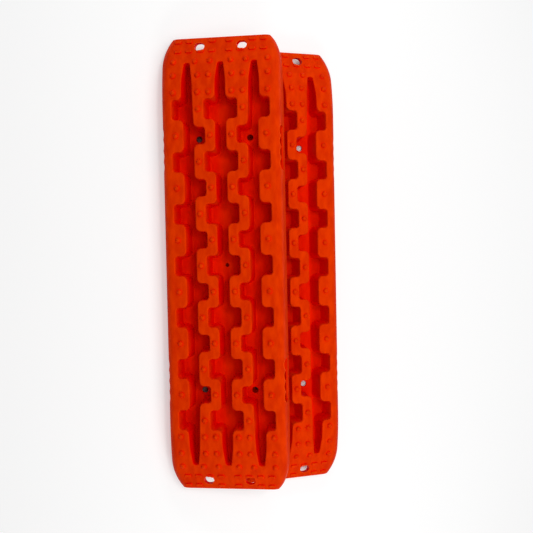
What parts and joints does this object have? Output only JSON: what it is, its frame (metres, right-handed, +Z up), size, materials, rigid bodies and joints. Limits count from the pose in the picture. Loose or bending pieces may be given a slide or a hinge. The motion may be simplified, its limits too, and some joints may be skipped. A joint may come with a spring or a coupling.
{
  "type": "tire traction mats",
  "caption": "Pair of hollow plastic traction mats with stepped grooves, studs, hand grips and tie holes, one leaning on the other.",
  "frame": {"origin": "on the floor, at the mouth of the small hole in the middle of the lower mat", "axes": "+X across the mats, towards the raised edge of the upper one; +Y along the mats; +Z up from the floor"},
  "size_m": [0.4378, 1.1012, 0.1555],
  "materials": {
    "orange_plastic": "satin injection-moulded nylon"
  },
  "bodies": {
    "lower_mat": {"lower_traction_mat": "orange_plastic"},
    "upper_mat": {"upper_traction_mat": "orange_plastic"}
  },
  "joints": [
    {"name": "upper_mat_lift", "type": "slide", "parent": "lower_mat", "child": "upper_mat", "axis": [0, 0, 1], "range_m": [0, 0.3]}
  ]
}
